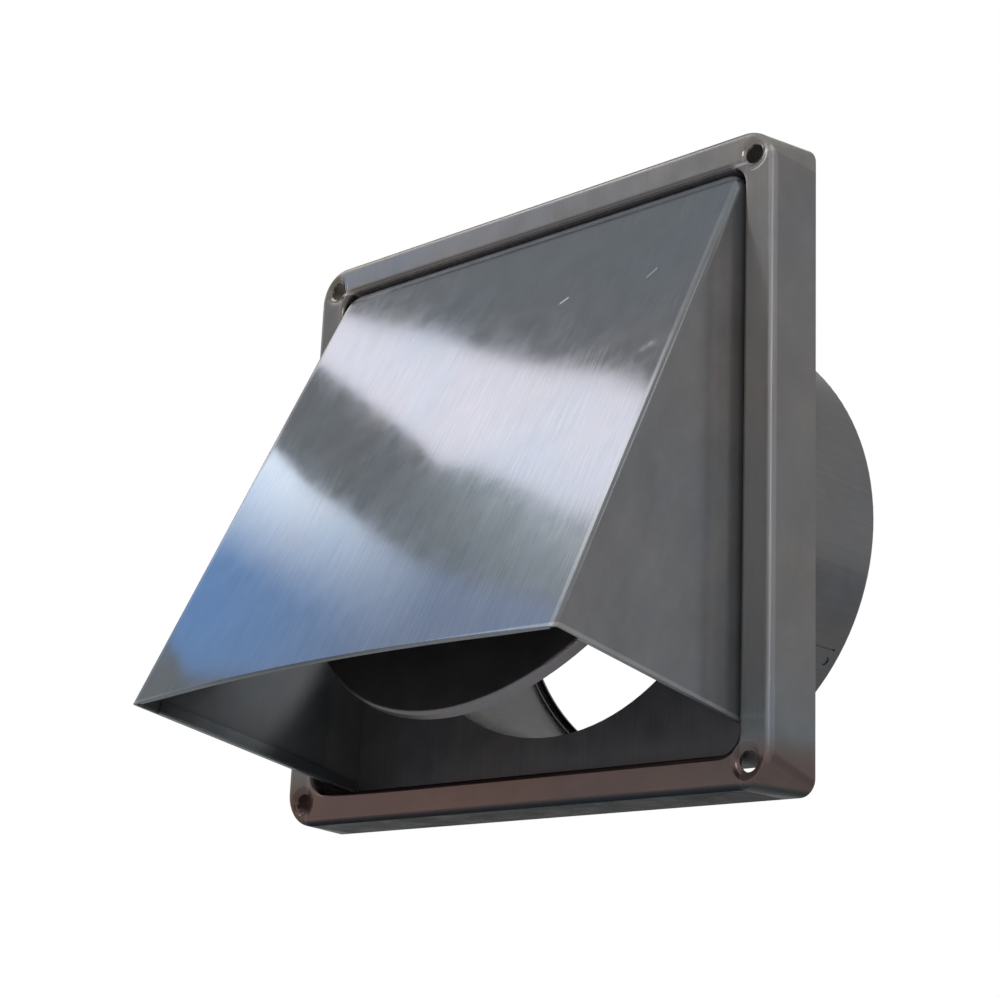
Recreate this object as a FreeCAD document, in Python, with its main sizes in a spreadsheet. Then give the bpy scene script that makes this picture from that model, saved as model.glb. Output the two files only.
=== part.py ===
import FreeCAD, Part
import Sketcher
import os
import re
from FreeCAD import Placement, Rotation, Vector

# Cowled wall vent for a round duct, with a gravity flap
#
# Frame: the origin is on the duct axis in the plane of the wall. +X is to the right and +Z up
# as the fitted vent is looked at, and +Y runs along the duct, away from the one who looks.
# Sizes are in millimetres.

document = FreeCAD.newDocument("wall_vent")
sheet = document.addObject("Spreadsheet::Sheet", "sizes")

SIZES = [
    # base plate: a pan pressed from one sheet, with a raised hollow rim round a sunk panel
    ("sheet_gauge", 0.8),
    ("plate_side_margin", 21.2),
    ("plate_end_margin", 20.7),
    ("plate_depth", 20.5),
    ("plate_front_corner", 11.5),
    ("plate_rear_corner", 5.0),
    ("rim_side_width", 10.8),
    ("rim_end_width", 9.8),
    ("rim_bend", 1.6),
    ("recess_corner", 6.5),
    ("recess_floor_bend", 0.5),
    ("screw_inset", 7.45),
    ("screw_hole_radius", 3.0),
    ("dimple_radius", 4.1),
    ("dimple_depth", 0.6),
    # spigot: a rolled tube behind the panel
    ("spigot_radius", 74.8),
    ("spigot_length", 62.6),
    ("spigot_flange", 4.0),
    ("hole_lip", 2.6),
    ("spigot_lip_curl", 2.4),
    ("mouth_bend_radius", 0.64),
    ("seam_angle", -33.0),
    ("seam_lap_angle", 10.0),
    ("seam_gap_angle", 0.4),
    ("weld_radius", 1.5),
    ("weld_depth", 0.35),
    ("weld_end_distance", 6.6),
    # hood: a folded cowl that stands in the sunk panel
    ("hood_side_groove", 1.3),
    ("hood_top_groove", 1.0),
    ("hood_corner", 6.5),
    ("hood_setback", 2.2),
    ("hood_fold", 1.6),
    ("hood_crown", 4.0),
    ("lip_reach", 72.9),
    ("lip_drop", 66.4),
    ("mouth_angle", 9.2),
    ("lip_skew", 1.5),
    ("hem_width", 6.5),
    ("side_hem_width", 4.0),
    ("hem_spacing", 3.0),
    ("tab_width", 14.0),
    ("tab_length", 8.0),
    ("tab_clearance", 0.2),
    ("side_tab_height", 42.0),
    ("top_tab_offset", 55.0),
    # flap and its hinge
    ("flap_overlap", 7.4),
    ("flap_edge_bend", 1.2),
    ("flap_hang", 5.0),
    ("flap_corner", 3.0),
    ("flap_opening_angle", 16.9),
    ("hinge_drop", 10.2),
    ("hinge_gap", 0.3),
    ("knuckle_radius", 2.0),
    ("knuckle_half_length", 24.5),
    ("knuckle_slit", 0.5),
    ("pin_clearance", 0.05),
    ("bracket_gauge", 1.2),
    ("bracket_side_gap", 0.3),
    ("bracket_foot_length", 18.0),
    ("bracket_foot_height", 9.0),
    ("bracket_foot_drop", 2.9),
    ("bracket_bend_radius", 1.08),
    ("ear_reach", 3.6),
    ("ear_corner", 2.0),
    ("ear_relief", 0.3),
    ("notch_reach", 2.7),
    ("notch_length", 2.6),
    ("foot_corner", 1.5),
    ("rivet_shank_radius", 1.2),
    ("rivet_head_radius", 2.1),
    ("rivet_head_height", 0.9),
    ("rivet_head_bevel", 0.5),
    ("rivet_tail_radius", 1.9),
    ("rivet_tail_height", 0.6),
    ("rivet_pitch", 7.0),
    ("rivet_first", 7.2),
    ("clip_radius", 2.1),
    ("clip_thickness", 1.1),
    ("clip_gap", 0.1),
    ("pin_end_length", 0.6),
    ("fixed_clearance", 0.02),
    # how far the forms that only cut or shape run past the edges that they meet
    ("cut_margin", 1.0),
    ("form_margin", 30.0),
]

for row, (alias, value) in enumerate(SIZES, start=1):
    sheet.set("A%d" % row, alias)
    sheet.set("B%d" % row, str(value))
    sheet.setAlias("B%d" % row, alias)
document.recompute()


NAMES = {alias for alias, _ in SIZES}


def cell(text):
    """Turn each size's plain name in an expression into its reference in the sheet."""
    return re.sub("[a-z_]+", lambda word: ("sizes." if word[0] in NAMES else "") + word[0], text)


def number(text):
    """The present value of an expression of sizes."""
    result = sheet.evalExpression(cell(text))
    return float(getattr(result, "Value", result))


def new_body(label):
    body = document.addObject("PartDesign::Body", label)
    body.Label = label
    return body


def sketch_on(body, role, name, forward="0"):
    """A sketch on one of the body's own origin planes, moved along the plane's normal."""
    plane = [item for item in body.Origin.OriginFeatures if item.Role == role][0]
    sketch = body.newObject("Sketcher::SketchObject", name)
    sketch.AttachmentSupport = (plane, [""])
    sketch.MapMode = "FlatFace"
    sketch.setExpression("AttachmentOffset.Base.z", cell(forward))
    return sketch


def fix_point(sketch, geometry, end, across, up):
    """Hold one point of a sketch at a place given by two expressions."""
    for kind, text in (("DistanceX", across), ("DistanceY", up)):
        index = sketch.addConstraint(Sketcher.Constraint(kind, -1, 1, geometry, end, number(text)))
        sketch.setExpression("Constraints[%d]" % index, cell(text))


def polygon(sketch, corners):
    """A closed outline of straight lines through corners given as pairs of expressions."""
    points = [Vector(number(across), number(up), 0) for across, up in corners]
    first = sketch.GeometryCount
    count = len(points)
    for index in range(count):
        sketch.addGeometry(Part.LineSegment(points[index], points[(index + 1) % count]), False)
    for index in range(count):
        before = first + (index - 1) % count
        sketch.addConstraint(Sketcher.Constraint("Coincident", before, 2, first + index, 1))
        fix_point(sketch, first + index, 1, *corners[index])


def rectangle(sketch, left, right, bottom, top):
    polygon(sketch, [(left, bottom), (right, bottom), (right, top), (left, top)])


def rounded_rectangle(sketch, half_width, half_height, radius):
    """A closed outline of four straight sides joined by round corners."""
    side = "(" + half_width + " - " + radius + ")"
    level = "(" + half_height + " - " + radius + ")"
    ends = [("- " + side, "- " + half_height), (side, "- " + half_height), (half_width, "- " + level),
            (half_width, level), (side, half_height), ("- " + side, half_height),
            ("- " + half_width, level), ("- " + half_width, "- " + level)]
    points = [Vector(number(across), number(up), 0) for across, up in ends]
    for index in range(0, 8, 2):
        sketch.addGeometry(Part.LineSegment(points[index], points[index + 1]), False)
        fix_point(sketch, index // 2, 1, *ends[index])
        fix_point(sketch, index // 2, 2, *ends[index + 1])
    for turn in range(4):
        start, end = points[2 * turn + 1], points[(2 * turn + 2) % 8]
        corner = Vector((1, 1, -1, -1)[turn] * number(side), (-1, 1, 1, -1)[turn] * number(level), 0)
        middle = corner + ((start + end) * 0.5 - corner).normalize() * number(radius)
        arc = sketch.addGeometry(Part.Arc(start, middle, end), False)
        first, last = (1, 2) if sketch.getPoint(arc, 1).distanceToPoint(start) < 1e-6 else (2, 1)
        sketch.addConstraint(Sketcher.Constraint("Coincident", arc, first, turn, 2))
        sketch.addConstraint(Sketcher.Constraint("Coincident", arc, last, (turn + 1) % 4, 1))
        size = sketch.addConstraint(Sketcher.Constraint("Radius", arc, number(radius)))
        sketch.setExpression("Constraints[%d]" % size, cell(radius))


def circle(sketch, across, up, radius):
    centre = Vector(number(across), number(up), 0)
    index = sketch.addGeometry(Part.Circle(centre, Vector(0, 0, 1), number(radius)), False)
    fix_point(sketch, index, 3, across, up)
    size = sketch.addConstraint(Sketcher.Constraint("Radius", index, number(radius)))
    sketch.setExpression("Constraints[%d]" % size, cell(radius))


def pad(body, sketch, length, name, midplane=False, backward=False):
    feature = body.newObject("PartDesign::Pad", name)
    feature.Profile = sketch
    feature.setExpression("Length", cell(length))
    feature.Midplane = midplane
    feature.Reversed = backward
    document.recompute()
    return feature


def pocket(body, sketch, name, length=None, midplane=False, backward=False):
    """Cut a sketch out of the body, right through it where no length is given."""
    before = body.Shape.Volume
    feature = body.newObject("PartDesign::Pocket", name)
    feature.Profile = sketch
    if length is None:
        feature.Type = "ThroughAll"
    else:
        feature.setExpression("Length", cell(length))
    feature.Midplane = midplane
    feature.Reversed = backward
    document.recompute()
    if not body.Shape.Volume < before - 1e-3:
        raise RuntimeError("%s cuts nothing" % name)
    return feature


def worked_edges(kind, measure, body, base, test, size, name):
    """Round or bevel the edges of a feature that a test picks."""
    chosen = ["Edge%d" % (index + 1) for index, edge in enumerate(base.Shape.Edges) if test(edge)]
    if not chosen:
        raise RuntimeError("%s finds no edge" % name)
    feature = body.newObject(kind, name)
    feature.Base = (base, chosen)
    feature.setExpression(measure, cell(size))
    document.recompute()
    return feature


def fillet(*details):
    return worked_edges("PartDesign::Fillet", "Radius", *details)


def chamfer(*details):
    return worked_edges("PartDesign::Chamfer", "Size", *details)


def turned(body, sketch, name, across="0", angle="360", cut=False):
    """Turn a section about a line along the sketch's upright direction."""
    start = Vector(number(across), -1, 0)
    end = Vector(number(across), 1, 0)
    line = sketch.addGeometry(Part.LineSegment(start, end), True)
    fix_point(sketch, line, 1, across, "- 1")
    fix_point(sketch, line, 2, across, "1")
    feature = body.newObject("PartDesign::Groove" if cut else "PartDesign::Revolution", name)
    feature.Profile = sketch
    feature.ReferenceAxis = (sketch, ["Axis0"])
    feature.setExpression("Angle", cell(angle))
    document.recompute()
    return feature


def seam_sketch(body, name, angle):
    """A sketch in the plane through the duct axis at an angle up from +X."""
    sketch = sketch_on(body, "XY_Plane", name)
    sketch.AttachmentOffset = Placement(Vector(0, 0, 0), Rotation(Vector(0, 1, 0), 1))
    sketch.setExpression("AttachmentOffset.Rotation.Angle", cell("- " + angle))
    return sketch


def hollow(body, base, test, name):
    """Leave a wall of the sheet's gauge inside the faces that aren't opened."""
    before = body.Shape.Volume
    opened = ["Face%d" % (index + 1) for index, face in enumerate(base.Shape.Faces) if test(face)]
    feature = body.newObject("PartDesign::Thickness", name)
    feature.Base = (base, opened)
    feature.setExpression("Value", cell("sheet_gauge"))
    feature.Reversed = True
    feature.Join = "Arc"
    document.recompute()
    if not body.Shape.Volume < before / 2:
        raise RuntimeError("%s stays solid" % name)
    return feature


def along(edge, axis):
    """Whether an edge is a straight line along X (0), Y (1) or Z (2)."""
    if edge.Curve.TypeId != "Part::GeomLine":
        return False
    way = edge.Curve.Direction
    return abs(abs((way.x, way.y, way.z)[axis]) - 1) < 1e-6


def in_plane(item, axis, place):
    """Whether an edge or face lies in the plane across X (0), Y (1) or Z (2) at a place."""
    box = item.BoundBox
    low, high = ((box.XMin, box.XMax), (box.YMin, box.YMax), (box.ZMin, box.ZMax))[axis]
    return abs(low - place) < 1e-4 and abs(high - place) < 1e-4


# Sizes that several pieces share, worked out from the driving ones

PANEL_FRONT = "2 * sheet_gauge"
HALF_WIDTH = "(spigot_radius + plate_side_margin)"
HALF_HEIGHT = "(spigot_radius + plate_end_margin)"
RECESS_HALF_WIDTH = "(" + HALF_WIDTH + " - rim_side_width)"
RECESS_HALF_HEIGHT = "(" + HALF_HEIGHT + " - rim_end_width)"
HOOD_HALF_WIDTH = "(" + HALF_WIDTH + " - rim_side_width - hood_side_groove)"
HOOD_TOP = "(" + HALF_HEIGHT + " - rim_end_width - hood_top_groove)"
HOLE_RADIUS = "(spigot_radius - sheet_gauge - hole_lip)"
FLAP_RADIUS = "(spigot_radius - sheet_gauge - hole_lip + flap_overlap)"
HINGE_FORWARD = "(2 * sheet_gauge + hinge_gap + knuckle_radius)"
HINGE_HEIGHT = "(" + HOOD_TOP + " - hinge_drop)"
FLAP_TOP = "(" + HINGE_HEIGHT + " - flap_hang)"
FOOT_BOTTOM = "(" + HINGE_HEIGHT + " - bracket_foot_drop)"
PIN_RADIUS = "(knuckle_radius - sheet_gauge - pin_clearance)"
EAR_INSIDE = "(knuckle_half_length + bracket_side_gap)"
RIVET_HEIGHT = "(" + FOOT_BOTTOM + " + bracket_foot_height / 2)"

panel_front = -number(PANEL_FRONT)


# Base plate

def pan_form(body, inset):
    """The block of the pan's outer faces, or the hollow behind them, a distance further in."""
    half_width = "(" + HALF_WIDTH + " - " + inset + ")"
    half_height = "(" + HALF_HEIGHT + " - " + inset + ")"
    depth = "(plate_depth - " + inset + ")"
    floor = "(" + PANEL_FRONT + " - " + inset + ")"
    rear_outline = sketch_on(body, "XZ_Plane", body.Name + "_rear_outline")
    rounded_rectangle(rear_outline, half_width, half_height, "(plate_rear_corner - " + inset + ")")
    front_outline = sketch_on(body, "XZ_Plane", body.Name + "_front_outline", depth)
    rounded_rectangle(front_outline, half_width, half_height, "(plate_front_corner - " + inset + ")")
    block = body.newObject("PartDesign::AdditiveLoft", body.Name + "_block")
    block.Profile = rear_outline
    block.Sections = [front_outline]
    block.Ruled = True
    document.recompute()
    recess_half_width = "(" + RECESS_HALF_WIDTH + " + " + inset + ")"
    recess_half_height = "(" + RECESS_HALF_HEIGHT + " + " + inset + ")"
    recess = sketch_on(body, "XZ_Plane", body.Name + "_recess", depth)
    rectangle(recess, "- " + recess_half_width, recess_half_width, "- " + recess_half_height,
              recess_half_height)
    sunk = pocket(body, recess, body.Name + "_sunk", depth + " - " + floor)
    recess_side, form_front, form_floor = number(recess_half_width), -number(depth), -number(floor)
    inner_corners = fillet(
        body, sunk,
        lambda edge: along(edge, 1) and abs(abs(edge.BoundBox.XMax) - recess_side) < 1e-3
        and edge.BoundBox.YMax < form_floor + 1e-3,
        "recess_corner + " + inset, body.Name + "_recess_corners")
    rim_bends = fillet(body, inner_corners, lambda edge: in_plane(edge, 1, form_front),
                       "rim_bend - " + inset, body.Name + "_rim_bends")
    fillet(body, rim_bends, lambda edge: in_plane(edge, 1, form_floor), "recess_floor_bend + " + inset,
           body.Name + "_floor_bend")


def cut_away(body, form, name):
    """Take one body's form out of another, which leaves the sheet between their faces."""
    cut = body.newObject("PartDesign::Boolean", name)
    cut.Type = "Cut"
    cut.Group = [form]
    document.recompute()


base = new_body("base_plate")
pan_form(base, "0")
pan_hollow = document.addObject("PartDesign::Body", "plate_hollow")
pan_form(pan_hollow, "sheet_gauge")
cut_away(base, pan_hollow, "pressed_sheet")

hole = sketch_on(base, "XZ_Plane", "duct_hole", "plate_depth")
circle(hole, "0", "0", HOLE_RADIUS)
pocket(base, hole, "duct_opening")

# Each corner hole is drawn back into a dimple, so that a screw's head sinks in the rim
SCREW_ACROSS = "(" + HALF_WIDTH + " - screw_inset)"
SCREW_UP = "(" + HALF_HEIGHT + " - screw_inset)"
mouths = sketch_on(base, "XZ_Plane", "dimple_mouths", "plate_depth")
for side in ("", "- "):
    for level in ("", "- "):
        circle(mouths, side + SCREW_ACROSS, level + SCREW_UP, "dimple_radius")
pocket(base, mouths, "dimple_openings", "sheet_gauge")
for side in ("", "- "):
    for level in ("", "- "):
        where = ("right" if side == "" else "left") + ("_top" if level == "" else "_bottom")
        cone = sketch_on(base, "XY_Plane", "dimple_" + where, level + SCREW_UP)
        axis_across = side + SCREW_ACROSS
        far = axis_across + " + dimple_radius"
        near = axis_across + " + screw_hole_radius"
        polygon(cone, [(far, "- plate_depth"), (near, "- plate_depth + dimple_depth"),
                       (near, "- plate_depth + dimple_depth + sheet_gauge"),
                       (far, "- plate_depth + sheet_gauge")])
        turned(base, cone, "dimple_cone_" + where, axis_across)

# Slots for the hood's tabs and holes for the hinge rivets
slots = sketch_on(base, "XZ_Plane", "tab_slots", "plate_depth")
HALF_SLOT = "(tab_width / 2 + tab_clearance)"
for side in ("", "- "):
    for level in ("", "- "):
        rectangle(slots, side + "(" + HOOD_HALF_WIDTH + " - sheet_gauge - tab_clearance)",
                  side + "(" + HOOD_HALF_WIDTH + " + tab_clearance)",
                  level + "side_tab_height - " + HALF_SLOT, level + "side_tab_height + " + HALF_SLOT)
    rectangle(slots, side + "top_tab_offset - " + HALF_SLOT, side + "top_tab_offset + " + HALF_SLOT,
              HOOD_TOP + " - sheet_gauge - tab_clearance", HOOD_TOP + " + tab_clearance")
pocket(base, slots, "tab_slot_cuts")


def rivet_circles(sketch, radius):
    """Four circles on the rivets' axes, two through the foot of each hinge bracket."""
    for side in ("", "- "):
        for step in range(2):
            place = "(" + EAR_INSIDE + " + rivet_first + %d * rivet_pitch)" % step
            circle(sketch, side + place, RIVET_HEIGHT, radius)


rivet_holes = sketch_on(base, "XZ_Plane", "rivet_holes", "plate_depth")
rivet_circles(rivet_holes, "rivet_shank_radius + fixed_clearance")
pocket(base, rivet_holes, "rivet_hole_cuts")


# Duct spigot: a flange behind the panel, a rolled tube and an end curled inwards

spigot = new_body("duct_spigot")
INSIDE = "(spigot_radius - sheet_gauge)"
section = sketch_on(spigot, "XY_Plane", "spigot_section")
LIP_RADIUS = "(spigot_radius - sheet_gauge - spigot_lip_curl)"
polygon(section, [(INSIDE, "- sheet_gauge"), ("spigot_radius + spigot_flange", "- sheet_gauge"),
                  ("spigot_radius + spigot_flange", "0"), ("spigot_radius", "0"),
                  ("spigot_radius", "spigot_length"), (LIP_RADIUS, "spigot_length"),
                  (LIP_RADIUS, "spigot_length - sheet_gauge"),
                  (INSIDE, "spigot_length - sheet_gauge")])
tube = turned(spigot, section, "spigot_tube")


def round_edge(radius, place):
    return lambda edge: (in_plane(edge, 1, place) and edge.Curve.TypeId == "Part::GeomCircle"
                         and abs(edge.Curve.Radius - radius) < 1e-3)


lip_outside = fillet(spigot, tube, round_edge(number("spigot_radius"), number("spigot_length")),
                     "spigot_lip_curl", "lip_outside")
lip_inside = fillet(
    spigot, lip_outside,
    round_edge(number(INSIDE), number("spigot_length - sheet_gauge")),
    "spigot_lip_curl - sheet_gauge", "lip_inside")
mouth_bend = fillet(spigot, lip_inside, round_edge(number(INSIDE), -number("sheet_gauge")),
                    "mouth_bend_radius", "mouth_bend")

# The seam: one end of the sheet is set inwards and the other is laid over it, flush outside
lap = seam_sketch(spigot, "seam_lap_section", "seam_angle")
rectangle(lap, INSIDE + " - sheet_gauge", INSIDE + " + sheet_gauge / 2", "sheet_gauge",
          "spigot_length - 2 * spigot_lip_curl")
turned(spigot, lap, "seam_lap", angle="seam_lap_angle")
gap = seam_sketch(spigot, "seam_gap_section", "seam_angle")
rectangle(gap, "spigot_radius - sheet_gauge / 2", "spigot_radius + sheet_gauge", "sheet_gauge",
          "spigot_length - 2 * spigot_lip_curl")
turned(spigot, gap, "seam_gap", angle="seam_gap_angle", cut=True)

# Spot welds along the lap
WELD_ANGLE = "(seam_angle - seam_lap_angle / 3)"
welds = sketch_on(spigot, "YZ_Plane", "weld_spots")
WELD_FLOOR = "(spigot_radius - weld_depth)"
welds.AttachmentOffset = Placement(Vector(0, 0, 0), Rotation(Vector(1, 0, 0), 1))
welds.setExpression("AttachmentOffset.Base.y", cell(WELD_FLOOR + " * sin(" + WELD_ANGLE + " * 1 deg)"))
welds.setExpression("AttachmentOffset.Base.z", cell(WELD_FLOOR + " * cos(" + WELD_ANGLE + " * 1 deg)"))
welds.setExpression("AttachmentOffset.Rotation.Angle", cell("- " + WELD_ANGLE))
for place in ("weld_end_distance", "spigot_length / 2", "spigot_length - weld_end_distance"):
    circle(welds, place, "0", "weld_radius")
pocket(spigot, welds, "weld_dents", "2 * weld_depth", backward=True)


# Hood: a folded cowl, straight at its top edge and bowed out towards its lip
#
# The front sheet slopes from the top fold to the lip. Its stations are planes square to it.
# The cowl is the form of its outside less the form of its inside, one gauge in.

FOLD_FORWARD = "(plate_depth - hood_setback)"
LIP_FORWARD = "(plate_depth + lip_reach)"
SLOPE = "atan2(lip_reach + hood_setback; " + HOOD_TOP + " + lip_drop)"
SLOPE_LENGTH = "hypot(lip_reach + hood_setback; " + HOOD_TOP + " + lip_drop)"
CUT_HALF_WIDTH = "(" + HOOD_HALF_WIDTH + " + form_margin)"
CUT_HEIGHT = "(lip_reach + 2 * form_margin)"
lip_top = -number("lip_drop") + number("hood_crown")


def station(body, name, from_fold):
    """A sketch across the front sheet, at a distance down it from the top fold.

    Its X runs across the hood and its Y points out of the sheet."""
    sketch = sketch_on(body, "XZ_Plane", name)
    sketch.AttachmentOffset = Placement(Vector(0, 0, 0), Rotation(Vector(1, 0, 0), 1))
    sketch.setExpression("AttachmentOffset.Rotation.Angle", cell("90 deg - " + SLOPE))
    sketch.setExpression("AttachmentOffset.Base.y",
                         cell(HOOD_TOP + " - (" + from_fold + ") * cos(" + SLOPE + ")"))
    sketch.setExpression("AttachmentOffset.Base.z",
                         cell(FOLD_FORWARD + " + (" + from_fold + ") * sin(" + SLOPE + ")"))
    return sketch


def open_outline(sketch, corners):
    """Straight lines through corners, left open between the last corner and the first."""
    points = [Vector(number(across), number(up), 0) for across, up in corners]
    first = sketch.GeometryCount
    for index in range(len(points) - 1):
        sketch.addGeometry(Part.LineSegment(points[index], points[index + 1]), False)
        if index:
            sketch.addConstraint(
                Sketcher.Constraint("Coincident", first + index - 1, 2, first + index, 1))
        fix_point(sketch, first + index, 1, *corners[index])
    last = first + len(points) - 2
    fix_point(sketch, last, 2, *corners[-1])
    return (last, 2), (first, 1)


def bowed_line(sketch, half_width, rise, level, before, after):
    """An arc between (-half_width, level) and (half_width, level), raised in its middle."""
    half = number(half_width)
    side_level = number(level)
    middle = Vector(0, side_level + number(rise), 0)
    arc = Part.Arc(Vector(-half, side_level, 0), middle, Vector(half, side_level, 0))
    index = sketch.addGeometry(arc, False)
    ends = (1, 2) if sketch.getPoint(index, 1).x < 0 else (2, 1)
    sketch.addConstraint(Sketcher.Constraint("Coincident", index, ends[0], *before))
    sketch.addConstraint(Sketcher.Constraint("Coincident", index, ends[1], *after))
    size = sketch.addConstraint(Sketcher.Constraint("Radius", index, sketch.Geometry[index].Radius))
    sketch.setExpression("Constraints[%d]" % size, cell(
        "((%s) ^ 2 + (%s) ^ 2) / (2 * (%s))" % (half_width, rise, rise)))


def cowl_form(body, inset, start):
    """The block under the front sheet, a distance inside the hood's outer faces.

    It starts at a distance in front of the wall and runs on past the lip. Its bow grows from
    nothing at the top fold to hood_crown at the lip."""
    arch = sketch_on(body, "XZ_Plane", body.Name + "_arch", start)
    half_width = "(" + HOOD_HALF_WIDTH + " - " + inset + ")"
    rectangle(arch, "- " + half_width, half_width, "- lip_drop - form_margin", HOOD_TOP + " - " + inset)
    block = pad(body, arch, "plate_depth + lip_reach + form_margin / 2 - " + start, body.Name + "_block")
    top = number(HOOD_TOP + " - " + inset)
    fillet(body, block, lambda edge: along(edge, 1) and abs(edge.BoundBox.ZMax - top) < 1e-3,
           "hood_corner - " + inset, body.Name + "_corners")
    level = "- " + inset
    above = [(HOOD_HALF_WIDTH, level), (CUT_HALF_WIDTH, level), (CUT_HALF_WIDTH, CUT_HEIGHT),
             ("- " + CUT_HALF_WIDTH, CUT_HEIGHT), ("- " + CUT_HALF_WIDTH, level),
             ("- " + HOOD_HALF_WIDTH, level)]
    at_fold = station(body, body.Name + "_fold_station", "0")
    polygon(at_fold, above)
    at_end = station(body, body.Name + "_end_station", SLOPE_LENGTH + " + form_margin")
    bowed_line(at_end, HOOD_HALF_WIDTH, "hood_crown * (1 + form_margin / " + SLOPE_LENGTH + ")", level,
               *open_outline(at_end, above))
    cut = body.newObject("PartDesign::SubtractiveLoft", body.Name + "_front")
    cut.Profile = at_fold
    cut.Sections = [at_end]
    cut.Ruled = True
    document.recompute()
    return cut


def round_folds(body, base, radius):
    """Round the folds round the front sheet, and leave its free lower edge square."""
    sheets = [face for face in base.Shape.Faces if face.Surface.TypeId == "Part::GeomBSplineSurface"]
    front_sheet = max(sheets, key=lambda face: face.Area)
    return fillet(
        body, base,
        lambda edge: edge.BoundBox.ZMax > lip_top and any(edge.isSame(side) for side in front_sheet.Edges),
        radius, body.Name + "_folds")


hood = new_body("cowl_hood")
outside_cut = cowl_form(hood, "0", PANEL_FRONT)
round_folds(hood, outside_cut, "hood_fold")
hollow_form = document.addObject("PartDesign::Body", "hood_inside")
inside_cut = cowl_form(hollow_form, "sheet_gauge", "0")
round_folds(hollow_form, inside_cut, "hood_fold - sheet_gauge")
cut_away(hood, hollow_form, "folded_sheet")

# Hems: the free edges are folded back flat inside, along the lip and along both sides
HEM_HALF_WIDTH = "(" + HOOD_HALF_WIDTH + " - hood_fold - hood_fold)"


def hem_section(name, from_fold):
    """The folded-back strip of sheet, bowed as the front sheet is at its station."""
    sketch = station(hood, name, from_fold)
    rise = "(hood_crown * (" + from_fold + ") / " + SLOPE_LENGTH + ")"
    share = "((" + HEM_HALF_WIDTH + ") / " + HOOD_HALF_WIDTH + ")"
    own_rise = "(" + rise + " * " + share + " ^ 2)"
    outer = "(" + rise + " - " + own_rise + " - sheet_gauge / 2)"
    inner = "(" + rise + " - " + own_rise + " - 2 * sheet_gauge)"
    half = HEM_HALF_WIDTH
    sides = []
    for side in ("", "- "):
        low = Vector(number(side + half), number(inner), 0)
        high = Vector(number(side + half), number(outer), 0)
        index = sketch.addGeometry(Part.LineSegment(low, high), False)
        fix_point(sketch, index, 1, side + half, inner)
        fix_point(sketch, index, 2, side + half, outer)
        sides.append(index)
    right, left = sides
    bowed_line(sketch, half, own_rise, inner, (left, 1), (right, 1))
    bowed_line(sketch, half, own_rise, outer, (left, 2), (right, 2))
    return sketch


hem_top = hem_section("hem_top", SLOPE_LENGTH + " - hem_width")
hem_end = hem_section("hem_end", SLOPE_LENGTH + " + form_margin / 2")
lip_hem = hood.newObject("PartDesign::AdditiveLoft", "lip_hem")
lip_hem.Profile = hem_top
lip_hem.Sections = [hem_end]
lip_hem.Ruled = True
document.recompute()

# The lip was folded a little askew, so each end of it lies this far up or down the slope
SKEW_RUN = "(" + HOOD_HALF_WIDTH + " * sin(lip_skew * 1 deg))"
HEM_START = "(hem_width + hem_spacing)"
ALONG_MOUTH = (" * cos(mouth_angle * 1 deg)", " * sin(mouth_angle * 1 deg)")
MOUTH_LENGTH = "((" + LIP_FORWARD + " - " + PANEL_FRONT + ") / cos(mouth_angle * 1 deg) - cut_margin)"
for side, lift in (("", " + "), ("- ", " - ")):
    inner_face = side + "(" + HOOD_HALF_WIDTH + " - 2 * sheet_gauge)"
    strip = sketch_on(hood, "YZ_Plane", "side_hem_" + ("right" if side == "" else "left"), inner_face)
    corners = []
    for distance, rise in ((HEM_START, "- side_hem_width"), (MOUTH_LENGTH, "- side_hem_width"),
                           (MOUTH_LENGTH, "side_hem_width"), (HEM_START, "side_hem_width")):
        corners.append(
            ("- " + LIP_FORWARD + " + " + distance + ALONG_MOUTH[0] + " + (" + rise + ")" + ALONG_MOUTH[1]
             + lift + SKEW_RUN + " * sin(" + SLOPE + ")",
             "- lip_drop - " + distance + ALONG_MOUTH[1] + " + (" + rise + ")" + ALONG_MOUTH[0]
             + lift + SKEW_RUN + " * cos(" + SLOPE + ")"))
    polygon(strip, corners)
    pad(hood, strip, "sheet_gauge * 1.5", strip.Name + "_pad", backward=side == "- ")

# The mouth: sheet and hems end at the lip, and on a line from it back to the panel, a little
# down from level. The cut is turned in the plane of the front sheet by the lip's skew.
mouth = sketch_on(hood, "YZ_Plane", "mouth_outline")
mouth.AttachmentOffset = Placement(Vector(0, 0, 0), Rotation(Vector(-1, 1, 0), 1))
mouth.setExpression("AttachmentOffset.Rotation.Axis.x", cell("- cos(" + SLOPE + ")"))
mouth.setExpression("AttachmentOffset.Rotation.Axis.y", cell("sin(" + SLOPE + ")"))
mouth.setExpression("AttachmentOffset.Rotation.Angle", cell("lip_skew"))
MOUTH_REAR = "(- lip_drop - (" + LIP_FORWARD + " + form_margin) * tan(mouth_angle * 1 deg))"
FAR_FORWARD = "- " + LIP_FORWARD + " - form_margin * cos(" + SLOPE + ")"
FAR_DOWN = "- lip_drop - 2 * form_margin"
polygon(mouth, [("- " + LIP_FORWARD, "- lip_drop"), ("form_margin", MOUTH_REAR),
                ("form_margin", FAR_DOWN), (FAR_FORWARD, FAR_DOWN),
                (FAR_FORWARD, "- lip_drop + form_margin * sin(" + SLOPE + ")")])
pocket(hood, mouth, "mouth_cut", "2 * " + CUT_HALF_WIDTH, midplane=True)

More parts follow.
